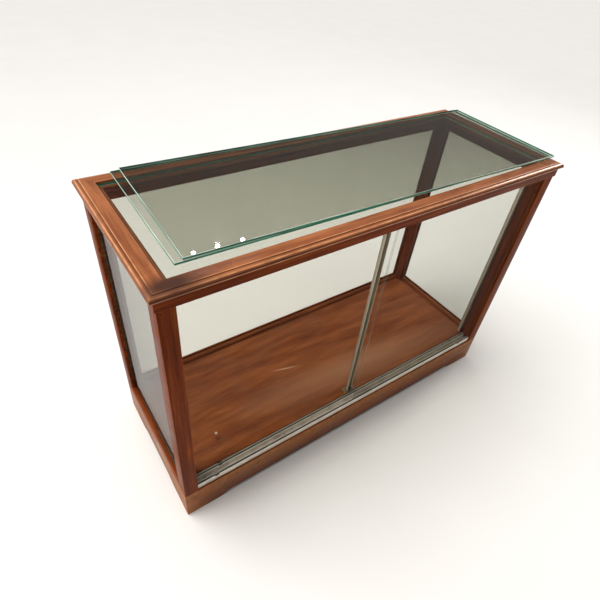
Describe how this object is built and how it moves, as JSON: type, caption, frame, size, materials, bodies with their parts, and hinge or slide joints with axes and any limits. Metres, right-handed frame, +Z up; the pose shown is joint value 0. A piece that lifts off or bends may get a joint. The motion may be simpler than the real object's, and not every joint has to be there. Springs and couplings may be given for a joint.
{
  "type": "glazed display case",
  "caption": "Glazed wooden display case on a shallow plinth, with sliding glass doors in a twin-channel track, slotted shelf standards and loose glass shelves resting on top.",
  "frame": {"origin": "on the floor, under the middle of the case", "axes": "+X along the case, -Y towards the side with the sliding doors, +Z up"},
  "size_m": [1.22, 0.462, 0.8404],
  "materials": {
    "case_wood": "satin",
    "deck_wood": "satin",
    "softwood": "rough",
    "clear_glass": "polished",
    "track_aluminium": "satin",
    "standard_steel": "satin",
    "liner_fibre": "matt",
    "fastener_steel": "satin"
  },
  "bodies": {
    "case": {"deck_bearer": "softwood", "deck_board": "deck_wood", "deck_cleats": "softwood", "door_guide": "track_aluminium", "door_track": "track_aluminium", "door_track_liners": "liner_fibre", "foot_screws": "fastener_steel", "glass_back": "clear_glass", "glass_left": "clear_glass", "glass_right": "clear_glass", "glass_top": "clear_glass", "guide_screws": "fastener_steel", "header_back": "case_wood", "header_front": "case_wood", "header_left": "case_wood", "header_nails": "fastener_steel", "header_right": "case_wood", "header_screws": "fastener_steel", "inner_bead_back": "case_wood", "inner_bead_left": "case_wood", "inner_bead_right": "case_wood", "outer_beads_back": "case_wood", "outer_beads_left": "case_wood", "outer_beads_right": "case_wood", "plinth_back": "case_wood", "plinth_corner_blocks": "softwood", "plinth_front": "case_wood", "plinth_left": "case_wood", "plinth_right": "case_wood", "post_back_left": "case_wood", "post_back_right": "case_wood", "post_front_left": "case_wood", "post_front_right": "case_wood", "post_screws": "fastener_steel", "shelf_standard_centre": "standard_steel", "shelf_standard_left": "standard_steel", "shelf_standard_right": "standard_steel", "sill_rail_back": "case_wood", "sill_rail_left": "case_wood", "sill_rail_right": "case_wood", "standard_foot_plate": "standard_steel", "standard_screws": "fastener_steel", "top_rail_back": "case_wood", "top_rail_front": "case_wood", "top_rail_left": "case_wood", "top_rail_right": "case_wood", "track_screws": "fastener_steel"},
    "door_left": {"door_left": "clear_glass"},
    "door_right": {"door_right": "clear_glass"},
    "shelf_lower": {"loose_shelf_lower": "clear_glass"},
    "shelf_upper": {"loose_shelf_upper": "clear_glass"}
  },
  "joints": [
    {"name": "door_left_slide", "type": "slide", "parent": "case", "child": "door_left", "axis": [1, 0, 0], "range_m": [0, 0.547]},
    {"name": "door_right_slide", "type": "slide", "parent": "case", "child": "door_right", "axis": [-1, 0, 0], "range_m": [0, 0.547]},
    {"name": "shelf_lower_lift", "type": "slide", "parent": "case", "child": "shelf_lower", "axis": [0, 0, 1], "range_m": [0, 0.3]},
    {"name": "shelf_upper_lift", "type": "slide", "parent": "shelf_lower", "child": "shelf_upper", "axis": [0, 0, 1], "range_m": [0, 0.3]}
  ]
}
